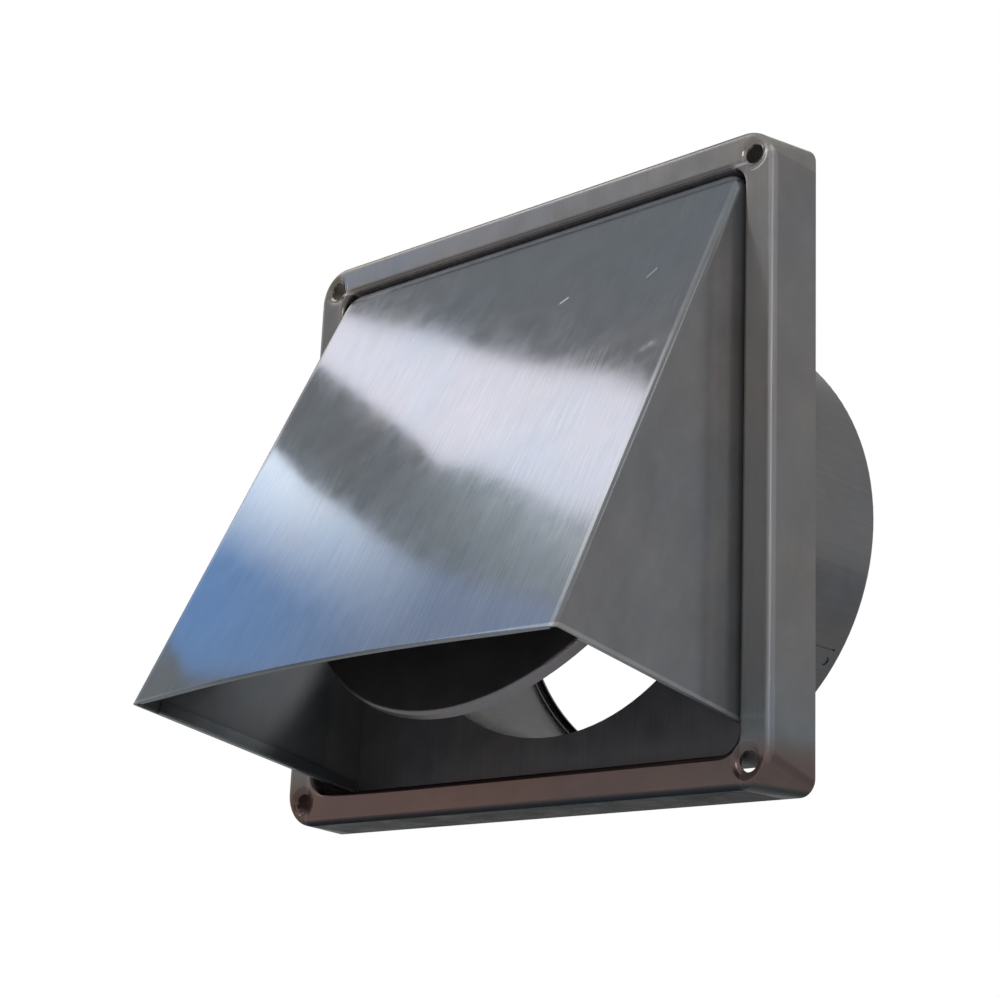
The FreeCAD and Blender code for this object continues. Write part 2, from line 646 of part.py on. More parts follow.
# Tabs: they pass through slots in the panel and are turned inwards behind it
for name, depth, length in (("tab_necks", PANEL_FRONT, "sheet_gauge"),
                            ("tab_ends", "sheet_gauge", "tab_length")):
    tabs = sketch_on(hood, "XZ_Plane", name + "_outline")
    for side in ("", "- "):
        for level in ("", "- "):
            rectangle(tabs, side + "(" + HOOD_HALF_WIDTH + " - " + length + ")", side + HOOD_HALF_WIDTH,
                      level + "side_tab_height - tab_width / 2", level + "side_tab_height + tab_width / 2")
        rectangle(tabs, side + "top_tab_offset - tab_width / 2", side + "top_tab_offset + tab_width / 2",
                  HOOD_TOP + " - " + length, HOOD_TOP)
    pad(hood, tabs, depth, name)


# Gravity flap: a round dished lid, hung by a knuckle rolled in its own sheet
#
# It is made shut, with its rim just off the panel, and its placement swings it open.

flap = new_body("backdraft_flap")
FLAP_BACK = "(" + PANEL_FRONT + " + hinge_gap)"
FLAP_FRONT = "(" + HINGE_FORWARD + " + knuckle_radius)"
disc = sketch_on(flap, "XZ_Plane", "flap_outline", FLAP_BACK)
circle(disc, "0", "0", FLAP_RADIUS)
flap_block = pad(flap, disc, FLAP_FRONT + " - " + FLAP_BACK, "flap_block")
above_chord = sketch_on(flap, "XZ_Plane", "flap_chord")
rectangle(above_chord, "- " + FLAP_RADIUS, FLAP_RADIUS, FLAP_TOP, FLAP_RADIUS + " + cut_margin")
chord_cut = pocket(flap, above_chord, "flap_chord_cut", "plate_depth", backward=True)
chord_corners = fillet(flap, chord_cut, lambda edge: along(edge, 1) and edge.BoundBox.ZMin > 0,
                       "flap_corner", "flap_corners")
edge_bend = fillet(flap, chord_corners, lambda edge: in_plane(edge, 1, -number(FLAP_FRONT)),
                   "flap_edge_bend", "flap_bend")
dished = hollow(flap, edge_bend, lambda face: in_plane(face, 1, -number(FLAP_BACK)), "flap_sheet")
leaf = sketch_on(flap, "XZ_Plane", "hinge_leaf", FLAP_FRONT + " - sheet_gauge")
rectangle(leaf, "- knuckle_half_length", "knuckle_half_length", FLAP_TOP + " - 3 * sheet_gauge",
          HINGE_HEIGHT)
pad(flap, leaf, "sheet_gauge", "hinge_leaf_pad")
notch = sketch_on(flap, "XZ_Plane", "rim_notch", FLAP_FRONT + " - sheet_gauge")
rectangle(notch, "- knuckle_half_length", "knuckle_half_length", FLAP_TOP + " - 2 * sheet_gauge",
          FLAP_TOP + " + sheet_gauge")
pocket(flap, notch, "rim_notch_cut", "2 * knuckle_radius")
roll = sketch_on(flap, "YZ_Plane", "knuckle_roll")
circle(roll, "- " + HINGE_FORWARD, HINGE_HEIGHT, "knuckle_radius")
circle(roll, "- " + HINGE_FORWARD, HINGE_HEIGHT, "knuckle_radius - sheet_gauge")
pad(flap, roll, "2 * knuckle_half_length", "knuckle", midplane=True)
slit = sketch_on(flap, "YZ_Plane", "knuckle_slit_outline")
SLIT_FRONT = "(" + FLAP_FRONT + " - sheet_gauge)"
rectangle(slit, "- " + SLIT_FRONT, "- " + SLIT_FRONT + " + knuckle_slit",
          HINGE_HEIGHT + " - knuckle_radius - cut_margin", HINGE_HEIGHT + " - knuckle_radius / 2")
pocket(flap, slit, "knuckle_slit_cut", "2 * knuckle_half_length + cut_margin", midplane=True)
flap.Placement = Placement(Vector(0, 0, 0), Rotation(Vector(-1, 0, 0), 1))
flap.setExpression("Placement.Rotation.Angle", cell("flap_opening_angle"))
LEAN = "sin(flap_opening_angle * 1 deg)"
SHORTFALL = "(1 - cos(flap_opening_angle * 1 deg))"
flap.setExpression("Placement.Base.y", cell(
    "- " + HINGE_FORWARD + " * " + SHORTFALL + " - " + HINGE_HEIGHT + " * " + LEAN))
flap.setExpression("Placement.Base.z", cell(
    HINGE_HEIGHT + " * " + SHORTFALL + " - " + HINGE_FORWARD + " * " + LEAN))


# Hinge pin, held in the ears of two brackets

pin = new_body("flap_hinge_pin")
EAR_OUTSIDE = "(" + EAR_INSIDE + " + bracket_gauge)"
PIN_HALF_LENGTH = "(" + EAR_OUTSIDE + " + clip_gap + clip_thickness + pin_end_length)"
wire = sketch_on(pin, "YZ_Plane", "pin_section")
circle(wire, "- " + HINGE_FORWARD, HINGE_HEIGHT, PIN_RADIUS)
rod = pad(pin, wire, "2 * " + PIN_HALF_LENGTH, "pin_rod", midplane=True)
chamfer(pin, rod, lambda edge: edge.Curve.TypeId == "Part::GeomCircle", PIN_RADIUS + " / 3", "pin_ends")

# The foot of each bracket is notched behind the pin's end, so that the pin and clip go in
EAR_FRONT = "(" + HINGE_FORWARD + " + ear_reach)"
EAR_REAR = "(" + PANEL_FRONT + " + ear_relief)"
NOTCH_TOP = "(" + HINGE_HEIGHT + " + notch_reach)"
FOOT_TOP = "(" + FOOT_BOTTOM + " + bracket_foot_height)"
for side, hand in (("", "right"), ("- ", "left")):
    outwards = side == "- "
    bracket = new_body("hinge_bracket_" + hand)
    ear = sketch_on(bracket, "YZ_Plane", "ear_outline_" + hand, side + EAR_INSIDE)
    polygon(ear, [("- " + PANEL_FRONT, NOTCH_TOP), ("- " + PANEL_FRONT, FOOT_TOP),
                  ("- " + EAR_FRONT, HINGE_HEIGHT + " + ear_reach"), ("- " + EAR_FRONT, FOOT_BOTTOM),
                  ("- " + EAR_REAR, FOOT_BOTTOM), ("- " + EAR_REAR, NOTCH_TOP)])
    ear_pad = pad(bracket, ear, "bracket_gauge", "ear_" + hand, backward=outwards)
    ear_front = -number(EAR_FRONT)
    fillet(bracket, ear_pad, lambda edge: along(edge, 0) and in_plane(edge, 1, ear_front), "ear_corner",
           "ear_corners_" + hand)
    foot = sketch_on(bracket, "XZ_Plane", "foot_outline_" + hand, PANEL_FRONT)
    foot_far = side + "(" + EAR_INSIDE + " + bracket_foot_length)"
    notch_far = side + "(" + EAR_OUTSIDE + " + notch_length)"
    polygon(foot, [(side + EAR_INSIDE, NOTCH_TOP), (side + EAR_INSIDE, FOOT_TOP), (foot_far, FOOT_TOP),
                   (foot_far, FOOT_BOTTOM), (notch_far, FOOT_BOTTOM),
                   (notch_far, NOTCH_TOP)])
    foot_pad = pad(bracket, foot, "bracket_gauge", "foot_" + hand)
    bend_place = number(side + EAR_INSIDE)
    bend = fillet(
        bracket, foot_pad,
        lambda edge: along(edge, 2) and in_plane(edge, 0, bend_place) and in_plane(edge, 1, panel_front),
        "bracket_bend_radius", "bracket_bend_" + hand)
    foot_end = number(foot_far)
    fillet(bracket, bend, lambda edge: along(edge, 1) and in_plane(edge, 0, foot_end), "foot_corner",
           "foot_corners_" + hand)
    ear_hole = sketch_on(bracket, "YZ_Plane", "ear_hole_" + hand)
    circle(ear_hole, "- " + HINGE_FORWARD, HINGE_HEIGHT, PIN_RADIUS + " + fixed_clearance")
    pocket(bracket, ear_hole, "ear_hole_cut_" + hand, EAR_OUTSIDE + " + cut_margin", backward=not outwards)
    foot_holes = sketch_on(bracket, "XZ_Plane", "foot_holes_" + hand, "plate_depth")
    for step in range(2):
        circle(foot_holes, side + "(" + EAR_INSIDE + " + rivet_first + %d * rivet_pitch)" % step,
               RIVET_HEIGHT, "rivet_shank_radius + fixed_clearance")
    pocket(bracket, foot_holes, "foot_hole_cuts_" + hand)

    clip = new_body("pin_clip_" + hand)
    washer = sketch_on(clip, "YZ_Plane", "clip_outline_" + hand, side + "(" + EAR_OUTSIDE + " + clip_gap)")
    circle(washer, "- " + HINGE_FORWARD, HINGE_HEIGHT, "clip_radius")
    circle(washer, "- " + HINGE_FORWARD, HINGE_HEIGHT, PIN_RADIUS + " + fixed_clearance")
    cap = pad(clip, washer, "clip_thickness", "clip_" + hand, backward=outwards)
    clip_face = number(side + "(" + EAR_OUTSIDE + " + clip_gap + clip_thickness)")
    clip_rim = number("clip_radius")
    chamfer(clip, cap,
            lambda edge: in_plane(edge, 0, clip_face) and abs(edge.Curve.Radius - clip_rim) < 1e-3,
            "clip_thickness / 3", "clip_edge_" + hand)


# Rivets: two through the foot of each bracket, set behind the panel

rivets = new_body("bracket_rivets")
tails = sketch_on(rivets, "XZ_Plane", "rivet_tails", "sheet_gauge - rivet_tail_height")
rivet_circles(tails, "rivet_tail_radius")
pad(rivets, tails, "rivet_tail_height", "tails")
shanks = sketch_on(rivets, "XZ_Plane", "rivet_shanks", "sheet_gauge")
rivet_circles(shanks, "rivet_shank_radius")
pad(rivets, shanks, "sheet_gauge + bracket_gauge", "shanks")
heads = sketch_on(rivets, "XZ_Plane", "rivet_heads", PANEL_FRONT + " + bracket_gauge")
rivet_circles(heads, "rivet_head_radius")
head_pad = pad(rivets, heads, "rivet_head_height", "heads")
head_face = -number(PANEL_FRONT + " + bracket_gauge + rivet_head_height")
chamfer(rivets, head_pad, lambda edge: in_plane(edge, 1, head_face), "rivet_head_bevel", "head_bevels")


# Every sub-part is checked, then written under its own name

document.recompute()
for item in document.Objects:
    if "Invalid" in item.State or "Error" in item.State:
        raise RuntimeError("%s did not build" % item.Name)
os.makedirs("parts", exist_ok=True)
for body in document.findObjects("PartDesign::Body"):
    if body in (pan_hollow, hollow_form):
        continue
    if body.Shape.isNull() or not body.Shape.isValid():
        raise RuntimeError("%s has no valid shape" % body.Label)
    body.Shape.exportStep("parts/" + body.Label + ".step")
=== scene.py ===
from math import pi, radians

import bpy
from mathutils import Matrix, Vector

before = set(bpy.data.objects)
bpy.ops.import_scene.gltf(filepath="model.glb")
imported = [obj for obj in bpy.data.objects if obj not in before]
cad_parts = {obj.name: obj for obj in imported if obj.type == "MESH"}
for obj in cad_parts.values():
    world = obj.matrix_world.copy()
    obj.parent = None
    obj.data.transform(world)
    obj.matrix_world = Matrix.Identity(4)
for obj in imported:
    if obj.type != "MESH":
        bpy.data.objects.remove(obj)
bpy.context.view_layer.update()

scene = bpy.context.scene
scene.view_settings.view_transform = "Standard"


# The studio: the vent hangs clear of a pale floor, against plain white, and is seen from its
# right and from below. Lit cards at the upper left are what its brushed hood mirrors; two
# lamps and painted highlights draw the light lines along the bends and folds.

lens = bpy.data.cameras.new("studio_camera")
lens.sensor_width = 36.0
lens.lens = 76.045
lens.clip_start = 0.01
camera = bpy.data.objects.new("studio_camera", lens)
camera.location = (0.42497, -0.46913, -0.17866)
camera.rotation_euler = (radians(106.0406), radians(-2.4129), radians(43.1915))
scene.collection.objects.link(camera)
scene.camera = camera


def lamp(name, target, towards, distance, along, length, breadth, radiance, colour):
    """A flat lamp that faces a target from a direction, with its long side along a vector."""
    away = Vector(towards).normalized()
    long_side = (Vector(along) - away * Vector(along).dot(away)).normalized()
    facing = Matrix((long_side, away.cross(long_side), away)).transposed()
    light = bpy.data.lights.new(name, "AREA")
    light.shape = "RECTANGLE"
    light.size = length
    light.size_y = breadth
    light.energy = radiance * length * breadth * pi
    light.color = colour
    holder = bpy.data.objects.new(name, light)
    holder.rotation_euler = facing.to_euler()
    holder.location = Vector(target) + away * distance
    holder.visible_camera = False
    scene.collection.objects.link(holder)


lamp("lens_lamp", target=(0.09, -0.02, 0.0), towards=(0.532, -0.789, 0.309), distance=0.60,
     along=(0, 0, 1), length=0.25, breadth=0.18, radiance=4.6, colour=(1.0, 0.99, 0.98))
lamp("overhead_lamp", target=(0.08, -0.06, 0.0), towards=(0.50, -0.28, 0.82), distance=0.55,
     along=(1, 0, 0), length=0.16, breadth=0.16, radiance=3.0, colour=(0.97, 1.0, 0.97))


def add(tree, kind, inputs=(), **settings):
    """A shader node with its settings, whose inputs are values or other nodes' outputs."""
    made = tree.nodes.new("ShaderNode" + kind)
    for key, value in settings.items():
        setattr(made, key, value)
    for key, value in dict(inputs).items():
        if isinstance(value, bpy.types.NodeSocket):
            tree.links.new(value, made.inputs[key])
        else:
            made.inputs[key].default_value = value
    return made


# Air: full white where it is seen or mirrored, and a plain level of light for all else
world = bpy.data.worlds.new("studio_white")
scene.world = world
world.use_nodes = True
light_level, seen_level = 0.75, 1.0
air = world.node_tree
air.nodes.clear()
path = add(air, "LightPath").outputs
seen = add(air, "Math", {0: path["Is Camera Ray"], 1: path["Is Glossy Ray"]},
           operation="MAXIMUM")
seen = add(air, "Math", {0: seen.outputs[0], 1: path["Is Transmission Ray"]},
           operation="MAXIMUM")
level = add(air, "MapRange", {"Value": seen.outputs[0], "To Min": light_level,
                              "To Max": seen_level})
white = add(air, "Background", {"Color": (1, 1, 1, 1), "Strength": level.outputs[0]})
add(air, "OutputWorld", {"Surface": white.outputs[0]})

# Floor: pale and matt, and lifted towards white where the camera sees it
floor_reach, floor_height = 12.0, -0.6
lifted_share = 0.6
floor_mesh = bpy.data.meshes.new("studio_floor")
floor_mesh.from_pydata(
    [(across * floor_reach, along * floor_reach, floor_height)
     for across, along in ((-1, -1), (1, -1), (1, 1), (-1, 1))], [], [(0, 1, 2, 3)])
studio_floor = bpy.data.objects.new("studio_floor", floor_mesh)
scene.collection.objects.link(studio_floor)
pale = bpy.data.materials.new("pale_floor")
pale.use_nodes = True
tree = pale.node_tree
tree.nodes.clear()
matt = add(tree, "BsdfDiffuse", {"Color": (0.80, 0.80, 0.80, 1)})
glow = add(tree, "Emission", {"Color": (1, 1, 1, 1), "Strength": 1.0})
path = add(tree, "LightPath").outputs
share = add(tree, "Math", {0: path["Is Camera Ray"], 1: lifted_share}, operation="MULTIPLY")
both = add(tree, "MixShader", {0: share.outputs[0], 1: matt.outputs[0], 2: glow.outputs[0]})
add(tree, "OutputMaterial", {"Surface": both.outputs[0]})
floor_mesh.materials.append(pale)

# Cards' plane: 0.35 m from the hood and square to the way that it mirrors. A place on it is
# so many millimetres across and up from its middle; the light band's edge is at edge_start.
millimetre = 0.001
card_middle = Vector((-0.2423, -0.0952, 0.2638))
card_across = Vector((0.1611, -0.9869, 0.0))
card_up = Vector((0.7099, 0.1159, 0.6947))
edge_start = (-34, -76)
edge_way = 0.835 * card_across + 0.551 * card_up
way_below_edge = 0.551 * card_across - 0.835 * card_up


def card_place(across, up):
    """The middle of the cards' plane, moved by its two sides' ways times an offset each."""
    return card_middle + millimetre * (across * card_across + up * card_up)


def lit_card(name, outline, run, fall, near, far):
    """A flat lit card, cut to an outline. Its colour drifts from the first to the second of a
    pair over a run along the light band's edge, and from near to far over a fall below it."""
    mesh = bpy.data.meshes.new(name)
    mesh.from_pydata([card_place(*corner) for corner in outline], [], [range(len(outline))])
    card = bpy.data.objects.new(name, mesh)
    card.visible_camera = False
    scene.collection.objects.link(card)
    lit = bpy.data.materials.new(name)
    lit.use_nodes = True
    tree = lit.node_tree
    tree.nodes.clear()
    point = add(tree, "TexCoord").outputs["Object"]
    shares = []
    for way, (nearest, furthest) in ((edge_way, run), (way_below_edge, fall)):
        reach = add(tree, "VectorMath", {0: point, 1: way}, operation="DOT_PRODUCT")
        base = card_place(*edge_start).dot(way)
        shares.append(add(tree, "MapRange", {
            "Value": reach.outputs["Value"], "From Min": base + millimetre * nearest,
            "From Max": base + millimetre * furthest}).outputs[0])
    tones = [add(tree, "Mix", {0: shares[0], 6: (*start, 1), 7: (*end, 1)},
                 data_type="RGBA").outputs[2] for start, end in (near, far)]
    mixed = add(tree, "Mix", {0: shares[1], 6: tones[0], 7: tones[1]}, data_type="RGBA")
    glow = add(tree, "Emission", {"Color": mixed.outputs[2], "Strength": 1.0})
    add(tree, "OutputMaterial", {"Surface": glow.outputs[0]})
    mesh.materials.append(lit)


lit_card(
    "strip_card",
    [(-84, -44), (-62, -20), (-50, -4), (-34, 22), (11, 64), (38, 92), (70, 114), (120, 150),
     (170, 116), (125, 77), (107, 60), (75, 40), (45, 19), (22, -4), (6, -8), (-26, -25),
     (-45, -37), (-66, -52)],
    run=(0, 200), fall=(-150, -30),
    near=((6.0, 5.6, 5.9), (6.0, 5.6, 5.9)), far=((6.0, 5.6, 5.9), (6.0, 5.6, 5.9)))
lit_card(
    "fading_card",
    [(22, -6), (45, 17), (75, 38), (107, 58), (125, 75), (170, 112), (210, 100), (190, 62),
     (157, 51), (139, 33), (99, -2), (70, -24), (45, -39), (14, -50)],
    run=(60, 190), fall=(-45, 0),
    near=((1.3, 1.4, 1.4), (3.3, 3.3, 3.3)), far=((1.1, 1.1, 1.1), (1.5, 1.6, 1.6)))
lit_card(
    "blue_card",
    [(-70, -112), (-33, -80), (-24, -76), (-13, -72), (14, -56), (45, -39), (70, -24),
     (99, -2), (139, 33), (157, 50), (190, 60), (215, 30), (130, -72), (50, -140),
     (14, -180), (-60, -184)],
    run=(0, 140), fall=(8, 58),
    near=((6.8, 7.0, 7.4), (1.5, 1.75, 2.4)), far=((1.0, 1.7, 3.0), (1.3, 1.5, 2.0)))


# Base plate: a pan pressed from one sheet of stainless steel, with a hollow rim, a sunk panel
# and four dimpled screw holes. Its sheet keeps a fine vertical grain and the faint cloudy
# marks of rolling and handling.

def new_group(name, inputs, outputs):
    """An empty shader node group with named inputs and outputs."""
    group = bpy.data.node_groups.new(name, "ShaderNodeTree")
    for way, sockets in (("INPUT", inputs), ("OUTPUT", outputs)):
        for label, kind in sockets.items():
            group.interface.new_socket(label, in_out=way, socket_type="NodeSocket" + kind)
    given = group.nodes.new("NodeGroupInput").outputs
    wanted = group.nodes.new("NodeGroupOutput").inputs
    return group, given, wanted


# Brushed grain: noise drawn out into streaks of a given size, turned to a fold's slope
grain_group, given, wanted = new_group(
    "brushed_grain", {"Point": "Vector", "Fold": "Vector", "Turn": "Vector", "Streak": "Vector"},
    {"Grain": "Float"})
drawn = add(grain_group, "Mapping", {
    "Vector": given["Point"], "Location": given["Fold"], "Rotation": given["Turn"],
    "Scale": given["Streak"]}, vector_type="TEXTURE")
streaks = add(grain_group, "TexNoise", {
    "Vector": drawn.outputs[0], "Scale": 1.0, "Detail": 3.0, "Roughness": 0.65})
grain_group.links.new(streaks.outputs[0], wanted["Grain"])

# Rolling marks: soft clouds, so many to the metre, and small spots a fifth of their size
spots_per_cloud = 5.0
marks_group, given, wanted = new_group(
    "rolling_marks", {"Point": "Vector", "Clouds per metre": "Float"},
    {"Cloud": "Float", "Spot": "Float"})
clouds = add(marks_group, "TexNoise", {
    "Vector": given["Point"], "Scale": given["Clouds per metre"], "Detail": 3.0,
    "Roughness": 0.5, "Distortion": 0.4})
finer = add(marks_group, "Math", {0: given["Clouds per metre"], 1: spots_per_cloud},
            operation="MULTIPLY")
spots = add(marks_group, "TexNoise", {
    "Vector": given["Point"], "Scale": finer.outputs[0], "Detail": 4.0, "Roughness": 0.6})
cloud = add(marks_group, "MapRange", {
    "Value": clouds.outputs[0], "From Min": 0.34, "From Max": 0.66})
spot = add(marks_group, "MapRange", {
    "Value": spots.outputs[0], "From Min": 0.36, "From Max": 0.64})
marks_group.links.new(cloud.outputs[0], wanted["Cloud"])
marks_group.links.new(spot.outputs[0], wanted["Spot"])

# Zone: rises smoothly from 0 to 1 between two distances along an axis
zone_group, given, wanted = new_group(
    "zone", {"Point": "Vector", "Axis": "Vector", "From": "Float", "To": "Float"},
    {"Inside": "Float"})
distance = add(zone_group, "VectorMath", {0: given["Point"], 1: given["Axis"]},
               operation="DOT_PRODUCT")
inside = add(zone_group, "MapRange", {
    "Value": distance.outputs["Value"], "From Min": given["From"], "From Max": given["To"]},
    interpolation_type="SMOOTHSTEP")
zone_group.links.new(inside.outputs[0], wanted["Inside"])

unturned = (0, 0, 0)


def brushed_steel(name, cool, warm, streak, clouds_per_metre, smooth, rough, wave, edge,
                  contrast=0.14, fold=unturned, turn=unturned):
    """Brushed steel: its colour drifts between a cool and a warm grey, streaked and clouded,
    and its roughness between smooth and rough, on a sheet with waves of a given height. Edge
    is how much it still mirrors at a glancing angle."""
    spot_contrast, metal_share = 0.04, 0.86
    waves_per_metre, grain_height = 16.0, 0.0000035
    finish = bpy.data.materials.new(name)
    finish.use_nodes = True
    tree = finish.node_tree
    shader = tree.nodes["Principled BSDF"]
    point = add(tree, "TexCoord").outputs["Object"]
    grain = add(tree, "Group", node_tree=grain_group)
    marks = add(tree, "Group", node_tree=marks_group)
    tree.links.new(point, grain.inputs["Point"])
    tree.links.new(point, marks.inputs["Point"])
    grain.inputs["Fold"].default_value = fold
    grain.inputs["Turn"].default_value = turn
    grain.inputs["Streak"].default_value = streak
    marks.inputs["Clouds per metre"].default_value = clouds_per_metre
    tinted = add(tree, "Mix", {0: marks.outputs["Cloud"], 6: (*cool, 1), 7: (*warm, 1)},
                 data_type="RGBA")
    spotted = add(tree, "MapRange", {
        "Value": marks.outputs["Spot"], "To Min": 1 - spot_contrast,
        "To Max": 1 + spot_contrast})
    streaked = add(tree, "MapRange", {
        "Value": grain.outputs["Grain"], "From Min": 0.3, "From Max": 0.7,
        "To Min": 1 - contrast, "To Max": 1 + contrast})
    shade = add(tree, "Math", {0: spotted.outputs[0], 1: streaked.outputs[0]},
                operation="MULTIPLY")
    colour = add(tree, "VectorMath", {0: tinted.outputs[2], "Scale": shade.outputs[0]},
                 operation="SCALE")
    tree.links.new(colour.outputs[0], shader.inputs["Base Color"])
    both_marks = add(tree, "Math", {0: grain.outputs["Grain"], 1: marks.outputs["Spot"]},
                     operation="ADD")
    roughness = add(tree, "MapRange", {
        "Value": both_marks.outputs[0], "From Min": 0.5, "From Max": 1.4, "To Min": smooth,
        "To Max": rough})
    tree.links.new(roughness.outputs[0], shader.inputs["Roughness"])
    waved = add(tree, "TexNoise", {
        "Vector": point, "Scale": waves_per_metre, "Detail": 0.0, "Roughness": 0.4})
    sheet_wave = add(tree, "Bump", {
        "Height": waved.outputs[0], "Distance": wave, "Strength": 1.0})
    brushed = add(tree, "Bump", {
        "Height": grain.outputs["Grain"], "Distance": grain_height, "Strength": 1.0,
        "Normal": sheet_wave.outputs[0]})
    tree.links.new(brushed.outputs[0], shader.inputs["Normal"])
    shader.inputs["Metallic"].default_value = metal_share
    shader.inputs["Specular Tint"].default_value = (edge, edge, edge, 1)
    return finish


def tint_zone(finish, axis, start, end, tint, dull=0.0, matt=0.0, both_sides=False,
              within=None):
    """From one distance along an axis to another, multiply a finish's colour by a tint, add to
    its roughness (dull) and take from its metal (matt): on both sides alike, and only within
    a square round the duct's axis, where that is wanted."""
    square_fade = 0.001
    tree = finish.node_tree
    shader = tree.nodes["Principled BSDF"]
    point = tree.nodes["Texture Coordinate"].outputs["Object"]
    folded = add(tree, "VectorMath", {0: point}, operation="ABSOLUTE")
    zone = add(tree, "Group", node_tree=zone_group)
    tree.links.new(folded.outputs[0] if both_sides else point, zone.inputs["Point"])
    zone.inputs["Axis"].default_value = axis
    zone.inputs["From"].default_value = start
    zone.inputs["To"].default_value = end
    share = zone.outputs[0]
    if within:
        apart = add(tree, "SeparateXYZ", {"Vector": folded.outputs[0]})
        out = add(tree, "Math", {0: apart.outputs["X"], 1: apart.outputs["Z"]},
                  operation="MAXIMUM")
        near = add(tree, "MapRange", {
            "Value": out.outputs[0], "From Min": within, "From Max": within + square_fade,
            "To Min": 1.0, "To Max": 0.0})
        share = add(tree, "Math", {0: share, 1: near.outputs[0]},
                    operation="MULTIPLY").outputs[0]
    colour = shader.inputs["Base Color"].links[0].from_socket
    tinted = add(tree, "Mix", {0: share, 6: colour, 7: (*tint, 1)}, data_type="RGBA",
                 blend_type="MULTIPLY")
    tree.links.new(tinted.outputs[2], shader.inputs["Base Color"])
    roughness = shader.inputs["Roughness"].links[0].from_socket
    rougher = add(tree, "Math", {0: share, 1: dull, 2: roughness}, operation="MULTIPLY_ADD")
    tree.links.new(rougher.outputs[0], shader.inputs["Roughness"])
    if matt:
        metal = shader.inputs["Metallic"]
        before = metal.links[0].from_socket if metal.links else metal.default_value
        duller = add(tree, "Math", {0: share, 1: -matt, 2: before}, operation="MULTIPLY_ADD")
        tree.links.new(duller.outputs[0], metal)


def give(node, finish):
    """Put a finish on a CAD node in place of its plain one."""
    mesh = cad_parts[node].data
    mesh.materials.clear()
    mesh.materials.append(finish)


plate_finish = brushed_steel(
    "pressed_plate_steel", cool=(0.132, 0.134, 0.138), warm=(0.150, 0.143, 0.137),
    streak=(0.0006, 0.02, 0.03), clouds_per_metre=22.0, smooth=0.14, rough=0.24,
    wave=0.00012, edge=0.12, contrast=0.08)

# Brown cast along the lower rim, painted reflection and shade, gone again towards the right
# corner
tint_zone(plate_finish, (0, 0, -1), 0.078, 0.088, (0.84, 0.56, 0.50))
tint_zone(plate_finish, (0.25, 0, -1), 0.085, 0.110, (0.80, 0.93, 1.0))
# Underside darkened: painted shade
tint_zone(plate_finish, (0, 0, -1), 0.0935, 0.0950, (0.22, 0.40, 0.50), dull=0.05)
# Sunk panel, duller than the rim
tint_zone(plate_finish, (0, 1, 0), -0.0195, -0.010, (1.0, 0.97, 1.03), dull=0.16, matt=0.34,
          within=0.0862)
# Left and right rim faces painted lighter, painted light against the groove's shade, and their
# outer walls a little darker
tint_zone(plate_finish, (1, 0, 0), 0.0855, 0.0862, (1.17, 1.16, 1.15), matt=0.36,
          both_sides=True)
tint_zone(plate_finish, (1, 0, 0), 0.0946, 0.0956, (0.83, 0.83, 0.85), both_sides=True)
# Top rim's inner wall painted much lighter, painted light in the gap's shade, and then its face
# painted lighter as the lit top
tint_zone(plate_finish, (0, 0, 1), 0.0850, 0.0855, (2.50, 2.30, 2.40), dull=0.10, matt=0.4,
          within=0.0854)
tint_zone(plate_finish, (0, 0, 1), 0.0868, 0.0874, (1.24, 1.22, 1.18))
# Upper left corner a little warmer, and the left rim darker than the right one, painted shade
tint_zone(plate_finish, (-1, 0, 1), 0.115, 0.175, (1.03, 0.99, 0.92))
tint_zone(plate_finish, (-1, 0, 0), 0.0868, 0.0874, (0.78, 0.76, 0.74))
# Outer bends of the rim painted lighter as a painted highlight, and rougher: at the sides, then
# at top and bottom
tint_zone(plate_finish, (1, 1, 0), 0.1142, 0.1150, (1.35, 1.36, 1.40), dull=0.16,
          both_sides=True)
tint_zone(plate_finish, (0, 1, 1), 0.1137, 0.1145, (1.2, 1.2, 1.2), dull=0.16,
          both_sides=True)

# Dimples: the sheet is drawn in round each screw hole, and their edge is soft
screw_hole = (0.08855, 0, 0.08805)
dimple_foot, dimple_brow, dimple_depth = 0.0036, 0.0056, 0.0005
tree = plate_finish.node_tree
shader = tree.nodes["Principled BSDF"]
point = tree.nodes["Texture Coordinate"].outputs["Object"]
corner = add(tree, "VectorMath", {0: point}, operation="ABSOLUTE")
corner = add(tree, "VectorMath", {0: corner.outputs[0], 1: (1, 0, 1)}, operation="MULTIPLY")
reach = add(tree, "VectorMath", {0: corner.outputs[0], 1: screw_hole}, operation="DISTANCE")
drawn_in = add(tree, "MapRange", {
    "Value": reach.outputs["Value"], "From Min": dimple_foot, "From Max": dimple_brow},
    interpolation_type="SMOOTHSTEP")
dimpled = add(tree, "Bump", {
    "Height": drawn_in.outputs[0], "Distance": dimple_depth, "Strength": 1.0,
    "Normal": shader.inputs["Normal"].links[0].from_socket})
tree.links.new(dimpled.outputs[0], shader.inputs["Normal"])
give("base_plate", plate_finish)


# Duct spigot: a strip rolled into a tube, lapped and spot-welded, with its end curled in and a
# flange welded behind the plate. The grain runs along the tube.

spigot_finish = brushed_steel(
    "rolled_spigot_steel", cool=(0.112, 0.115, 0.124), warm=(0.124, 0.120, 0.114),
    streak=(0.0012, 0.04, 0.0012), clouds_per_metre=18.0, smooth=0.20, rough=0.30,
    wave=0.00025, edge=0.5, contrast=0.06)
give("duct_spigot", spigot_finish)


# Hood: one folded sheet, clinched to the plate by tabs. It is brushed down its slope, has a
# slight wave from folding, two short scratches and a small dent near its right fold.

